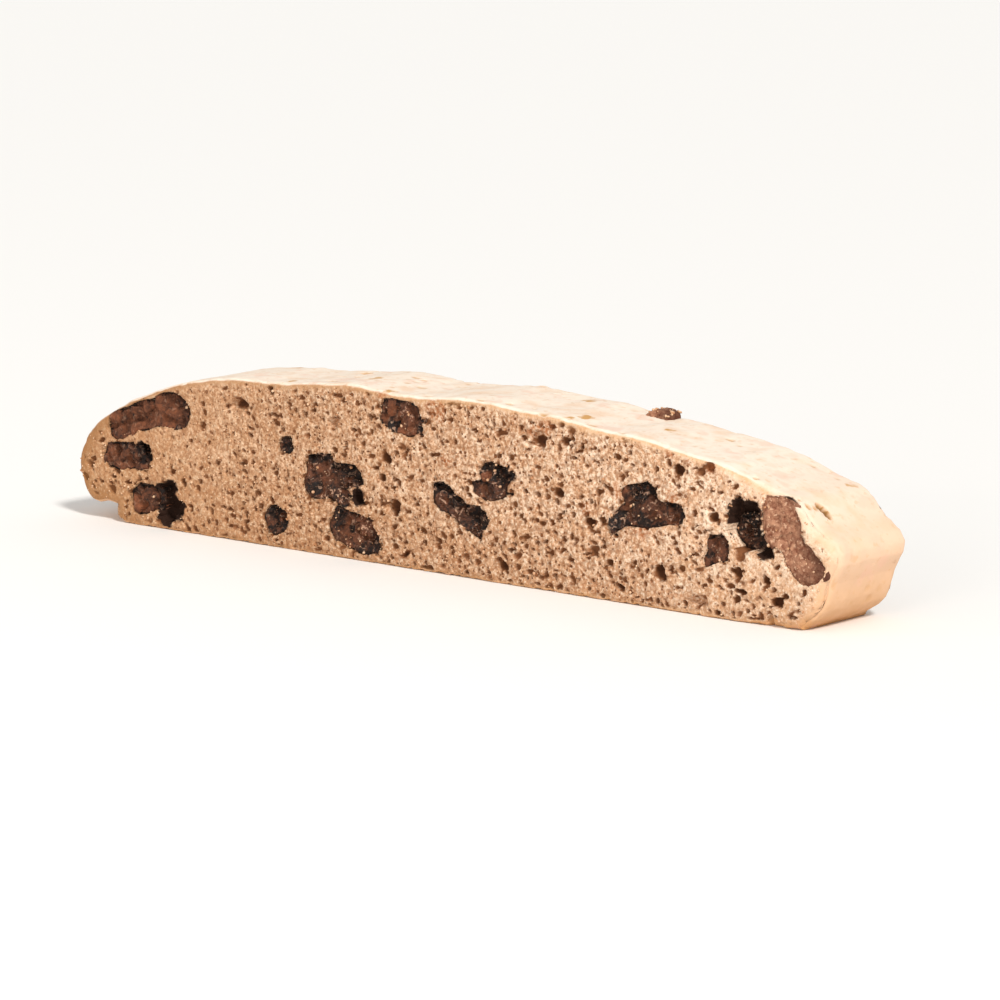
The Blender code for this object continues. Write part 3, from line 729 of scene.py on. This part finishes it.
# Single places on those faces: x, z, reach, how brown, how glossy and how far it stands out
# The sunk, near-black marks are partly painted shade in the chunks' hollows
CHUNK_MARKS = {
    "chocolate_front_04": ((-30.6, 17.2, 1.3, 0.05, 0.6, -0.3),),
    "chocolate_front_05": ((-33.2, 5.0, 0.9, 0.45, 1.0, 0.3), (-34.6, 7.2, 1.3, 0.0, 0.3, -0.6),
                           (-35.4, 4.2, 1.0, 0.40, 0.2, 0.2), (-31.8, 3.5, 1.1, 0.0, 0.4, -0.5)),
    "chocolate_front_06": ((-23.8, 16.6, 2.1, 0.12, 0.5, 0.3), (-23.3, 13.6, 1.9, 0.68, 0.3, 0.4),
                           (-25.4, 10.6, 1.3, 0.05, 0.5, -0.2), (-17.4, 15.2, 1.8, 0.0, 0.0, -1.2),
                           (-18.1, 12.3, 1.4, 0.40, 0.9, 0.2), (-15.3, 12.4, 1.3, 0.0, 0.2, -0.8)),
    "chocolate_front_07": ((-15.6, 7.6, 1.0, 0.60, 1.0, 0.2), (-15.0, 5.2, 2.2, 0.68, 0.5, 0.3),
                           (-11.6, 4.3, 1.5, 0.0, 0.2, -0.6), (-20.8, 6.8, 1.3, 0.05, 0.3, -0.4)),
    "chocolate_front_08": ((-5.4, 24.9, 2.2, 0.66, 0.5, 0.2), (-1.4, 25.2, 1.3, 0.0, 0.3, -0.8),
                           (-2.0, 22.3, 1.3, 0.05, 0.5, -0.3), (-7.8, 22.6, 1.2, 0.0, 0.5, -0.5)),
    "chocolate_front_09": ((7.0, 12.6, 1.6, 0.0, 0.2, -1.0), (4.2, 14.2, 1.3, 0.0, 0.2, -0.8),
                           (9.4, 7.8, 1.4, 0.30, 1.0, 0.3), (5.6, 9.6, 2.0, 0.42, 0.7, 0.2),
                           (1.9, 12.2, 1.4, 0.55, 0.8, 0.3)),
    "chocolate_front_10": ((12.4, 18.6, 1.7, 0.03, 0.6, -0.4), (15.3, 17.3, 1.5, 0.0, 0.4, -0.6),
                           (11.2, 16.4, 1.0, 0.85, 0.3, 0.5), (13.1, 14.4, 2.0, 0.42, 0.8, 0.2)),
    "chocolate_front_11": ((42.2, 17.7, 1.9, 0.12, 1.0, 0.4), (45.3, 15.2, 2.5, 0.52, 0.35, 0.3),
                           (48.4, 13.8, 1.5, 0.62, 1.0, 0.3), (40.5, 13.7, 1.3, 0.40, 0.9, 0.2),
                           (37.6, 12.8, 1.8, 0.0, 0.8, -0.5), (51.9, 14.7, 1.4, 0.0, 0.4, -0.8),
                           (43.8, 19.3, 1.1, 0.0, 0.4, -0.4), (44.0, 11.4, 1.5, 0.0, 0.3, -0.4)),
    "chocolate_front_12": ((57.6, 10.2, 1.5, 0.62, 0.4, 0.2), (55.5, 9.9, 0.9, 0.0, 0.2, -0.6)),
    "chocolate_front_13": ((61.7, 13.8, 1.4, 0.35, 1.0, 0.6),),
}
SIDE_LAYER = 3.6
RIM_WIDTH = 0.9
CRUST_THICKNESS = 0.5
BUMP_ON_CRUST = "chocolate_back_11"
BUMP_X, BUMP_REACH, BUMP_LIFT = 34.4, 2.4, 1.3
slots = {part["node"]: part["material_slot"] for part in frame["record"]["subparts"]}
chunks = {}
dice = random.Random(7)
for node in sorted(name for name in frame["nodes"] if name != "biscuit"):
    guess = (dice.uniform(0.2, 0.6), dice.uniform(0.2, 1.6), dice.uniform(0.2, 1.2),
             dice.uniform(1.6, 3.0), dice.uniform(0.3, 0.6), dice.uniform(0, 0.9), dice.randint(3, 26))
    dip, dip_right, dip_top, flake, brownness, sheen, crumbs = CHUNK_LOOKS.get(node, guess)
    shape = bmesh.new()
    shape.from_mesh(frame["nodes"][node].data)
    bmesh.ops.remove_doubles(shape, verts=shape.verts, dist=0.001 * MM)
    mesh = bpy.data.meshes.new(node + "_chunk")
    shape.to_mesh(mesh)
    shape.free()
    piece = finished(node + "_chunk", mesh, FINISH[slots[node]], slots[node], node)
    remesh = piece.modifiers.new("even skin", "REMESH")
    remesh.mode = "VOXEL"
    remesh.voxel_size = (BACK_VOXEL if "back" in node else FRONT_VOXEL) * MM
    mesh = apply_modifiers(piece)
    mesh.materials.clear()
    mesh.materials.append(FINISH[slots[node]])
    places = read_points(mesh) / MM
    outward = read_normals(mesh)
    side = 1 if "back" in node else -1
    facing = np.abs(outward[:, 1])
    near_cut = np.clip(1 - (HALF - side * places[:, 1]) / SIDE_LAYER, 0, 1)

    # How near each place of the cut face is to the chunk's own edge, most of all right and top
    below_face = (side * places[:, 1]).max() - side * places[:, 1]
    edge_ids = np.flatnonzero((facing < 0.6) & (below_face < 1.2))
    outline = KDTree(len(edge_ids))
    for index in edge_ids:
        outline.insert((places[index, 0], 0, places[index, 2]), index)
    outline.balance()
    rim_share = np.zeros(len(places))
    flush_share = np.zeros(len(places))
    for index in np.flatnonzero(near_cut > 0):
        x, _, z = places[index]
        found, _, apart = outline.find((x, 0, z))
        to_right_top = max(0.0, 0.8 * (found.x - x) + 0.6 * (found.z - z)) / max(apart, TINY)
        rim_share[index] = max(0.0, 1 - apart / (RIM_WIDTH * to_right_top + TINY))
        flush_share[index] = max(0.0, 1 - apart / (1.6 * RIM_WIDTH)) * (1 - to_right_top)
    heights, own = flakes(places, flake, 201)
    bare = slots[node] == "chocolate"
    lumps = (0.75 if bare else 0.25) * heights + 0.22 * rough_noise(places, 0.9, 3, 211)
    lumps *= 1 - 0.7 * flush_share
    low, high = places.min(0), places.max(0)
    rightward_share, upward_share = ((places - low) / (high - low))[:, [0, 2]].T
    drop = dip + dip_right * rightward_share ** 2.5 + dip_top * upward_share ** 3
    drop += (0.8 if bare else 0.1) * rim_share * (1 + 0.5 * soft_noise(places, 1.5, 241))
    if bare:
        contrast = 0.25 + 0.3 * min(1, 2 * sheen)
        tone = 0.72 * brownness + contrast * (own - 0.5) + 0.25 * rough_noise(places, 1.1, 2, 251)
        # Painted shade: darker where the face dips below the cut and along its right and top edges
        tone -= 0.28 * np.clip(drop - dip, 0, 2) + 0.3 * rim_share
    else:
        tone = 1 - 0.75 * smooth_step(0.40, 1.0, rightward_share + 0.2 * soft_noise(places, 2.0, 261))
        # Painted shade along the right and top edges
        tone *= 1 - 0.4 * rim_share
    shine = sheen * smooth_step(0.25, 0.6, own) * smooth_step(-0.5, 0.3, soft_noise(places, 2.4, 221))
    uneven = 0.30 * rough_noise(places, 1.2, 3, 271)
    for x, z, reach, mark_brown, mark_gloss, stands_out in CHUNK_MARKS.get(node, ()):
        apart = np.hypot(places[:, 0] - x, places[:, 2] - z) / reach + uneven
        here = 1 - smooth_step(0.75, 1.0, apart)
        tone += (0.8 * mark_brown - tone) * here
        shine += (mark_gloss - shine) * here
        drop -= stands_out * np.clip(1.1 - apart, 0, 1)
    drop *= 1 - 0.9 * flush_share
    flare = np.clip(1 - facing * 1.2, 0, 1) * (0.2 + 0.5 * smooth_step(0.1, 0.7, below_face))
    places += outward * (np.clip(lumps, -0.9, 0.9) + flare)[:, None]
    places[:, 1] -= side * drop * near_cut
    places[:, 1] = np.clip(places[:, 1], -HALF - 0.02, HALF + 0.02)
    ceiling = np.interp(places[:, 0], column_x, column_top) - CRUST_THICKNESS
    if node == BUMP_ON_CRUST:
        ceiling += BUMP_LIFT * np.exp(-((places[:, 0] - BUMP_X) / BUMP_REACH) ** 4)
    ground_level = np.interp(places[:, 0], column_x, column_base) + CRUST_THICKNESS
    places[:, 2] = np.clip(places[:, 2], ground_level, np.maximum(ceiling, ground_level))
    move_points(mesh, places)
    mesh.shade_smooth()
    add_attribute(mesh, "tone", np.clip(tone, 0, 1) ** (1.4 if bare else 1))
    add_attribute(mesh, "shine", np.clip(shine, 0, 1))
    chunks[node] = (piece, crumbs)

# ---------------------------------------------------------------------------
# Crumbs. Grains of crumb that the saw tore loose, stuck to the two cut faces and to the
# sticky chocolate.

CRUMBS_ON_FACE = {"front": 1200, "back": 800}
BATCH = 60


def scatter(shape, where, count, small, large, sink):
    """Adds grains of crumb to a shape, partly sunk in the places they are dropped on."""
    for start in range(0, count, BATCH):
        batch = bmesh.new()
        for _ in range(min(BATCH, count - start)):
            place, normal = where[dice.randrange(len(where))]
            size = small + (large - small) * dice.random() ** 2.5
            turn = Euler([dice.uniform(0, math.tau) for _ in range(3)]).to_matrix().to_4x4()
            stretch = Matrix.Diagonal([dice.uniform(0.6, 1.5) for _ in range(3)] + [1.0])
            drop = Matrix.Translation(place + normal * (size * (0.5 - sink) * MM))
            bmesh.ops.create_icosphere(
                batch, subdivisions=1, radius=size / 2 * MM, matrix=drop @ turn @ stretch)
        grain_mesh = bpy.data.meshes.new("grains")
        batch.to_mesh(grain_mesh)
        batch.free()
        shape.from_mesh(grain_mesh)
        bpy.data.meshes.remove(grain_mesh)


def picked(mesh, wanted):
    """The places and normals of a mesh's points where wanted(place in mm, normal) is true."""
    places = read_points(mesh)
    outward = read_normals(mesh)
    keep = wanted(places / MM, outward)
    return [(Vector(place), Vector(normal)) for place, normal in zip(places[keep], outward[keep])]


crumb = bpy.data.materials.new("loose_dry_crumb")
crumb.use_nodes = True
tree = crumb.node_tree
shader = tree.nodes["Principled BSDF"]
place = add(tree, "ShaderNodeTexCoord").outputs["Object"]
in_mm = add(tree, "ShaderNodeVectorMath", {"operation": "SCALE", "Scale": 1 / MM}, {0: place}).outputs[0]
mixed = add(tree, "ShaderNodeTexNoise", {"Scale": 1 / 0.9, "Detail": 1.0}, {"Vector": in_mm}).outputs["Fac"]
mixed_share = add(tree, "ShaderNodeMapRange", {"From Min": 0.36, "From Max": 0.62}, {0: mixed}).outputs[0]
tone = add(tree, "ShaderNodeMix", {"data_type": "RGBA", 6: linear("#B98661"), 7: linear("#DFBB99")}, {0: mixed_share}).outputs[2]
tree.links.new(tone, shader.inputs["Base Color"])
shader.inputs["Roughness"].default_value = 0.85
shader.inputs["Specular IOR Level"].default_value = 0.25

for face, count in CRUMBS_ON_FACE.items():
    side = -1 if face == "front" else 1
    shape = bmesh.new()
    near_cut = picked(slice_mesh, lambda at, way: (
        (at[:, 1] * side > HALF - 0.5) & (way[:, 1] * side > 0.6)
        & (at[:, 2] < np.interp(at[:, 0], column_x, column_top) - 1.2)
        & (at[:, 2] > np.interp(at[:, 0], column_x, column_base) + 0.8)))
    scatter(shape, near_cut, count, 0.15, 0.45, 0.35)
    for node, (piece, crumbs) in chunks.items():
        if face in node:
            cut = picked(piece.data, lambda at, way: (at[:, 1] * side > HALF - SIDE_LAYER - 1) & (way[:, 1] * side > 0.5))
            scatter(shape, cut, crumbs, 0.12, 0.55, 0.35)
    if face in BUMP_ON_CRUST:
        bump = picked(chunks[BUMP_ON_CRUST][0].data,
                      lambda at, way: at[:, 2] > np.interp(at[:, 0], column_x, column_top))
        scatter(shape, bump, 16, 0.3, 0.75, 0.35)
    mesh = bpy.data.meshes.new("crumbs_" + face)
    shape.to_mesh(mesh)
    shape.free()
    finished("crumbs_" + face, mesh, crumb, "crumb")

# ---------------------------------------------------------------------------
# The table and the light: not part of the slice. A pale matt table in an evenly bright
# room, with the sun from the right, high and a little in front.

FLOOR_RADIUS = 4.0
shape = bmesh.new()
bmesh.ops.create_circle(shape, cap_ends=True, radius=FLOOR_RADIUS, segments=96)
floor_mesh = bpy.data.meshes.new("table_top")
shape.to_mesh(floor_mesh)
shape.free()
floor = bpy.data.objects.new("table_top", floor_mesh)
bpy.context.scene.collection.objects.link(floor)
matt = bpy.data.materials.new("pale_matt_table")
matt.use_nodes = True
matt.node_tree.nodes["Principled BSDF"].inputs["Base Color"].default_value = linear("#F4F3F1")
matt.node_tree.nodes["Principled BSDF"].inputs["Roughness"].default_value = 0.9
floor_mesh.materials.append(matt)

world = bpy.data.worlds.new("bright_room")
bpy.context.scene.world = world
world.use_nodes = True
world.node_tree.nodes["Background"].inputs["Color"].default_value = linear("#FFFFFF")
world.node_tree.nodes["Background"].inputs["Strength"].default_value = 0.55


def add_light(name, kind, place, aim, size, power, colour):
    lamp = bpy.data.lights.new(name, kind)
    if kind == "SUN":
        lamp.angle = size
    else:
        lamp.size = size
    lamp.energy = power
    lamp.color = linear(colour)[:3]
    light = bpy.data.objects.new(name, lamp)
    light.location = place
    light.rotation_euler = (Vector(place) - Vector(aim)).to_track_quat("Z", "Y").to_euler()
    bpy.context.scene.collection.objects.link(light)


add_light("sun", "SUN", (0.75, -0.35, 0.75), (0, 0, 0), math.radians(9), 2.5, "#FFFCF7")
add_light("softbox", "AREA", (0.16, -0.40, 0.12), (0.05, 0, 0.01), 0.18, 0.5, "#FFFAF2")
add_light("left_softbox", "AREA", (-0.42, -0.42, 0.12), (0, 0, 0.01), 0.06, 0.35, "#FFF6EA")

# ---------------------------------------------------------------------------
# The camera: low, at the slice's front right, with a long lens.

camera_data = bpy.data.cameras.new("camera")
camera_data.sensor_width = 36.0
camera_data.lens = 158.08
camera = bpy.data.objects.new("camera", camera_data)
azimuth, elevation, away = math.radians(40.54), math.radians(9.83), 0.7
aim = Vector((6.63 * MM, 0, 11.26 * MM))
back = Vector((math.sin(azimuth) * math.cos(elevation), -math.cos(azimuth) * math.cos(elevation), math.sin(elevation)))
camera.location = aim + back * away
camera.rotation_euler = back.to_track_quat("Z", "Y").to_euler()
bpy.context.scene.collection.objects.link(camera)
bpy.context.scene.camera = camera
bpy.context.scene.view_settings.view_transform = "Standard"
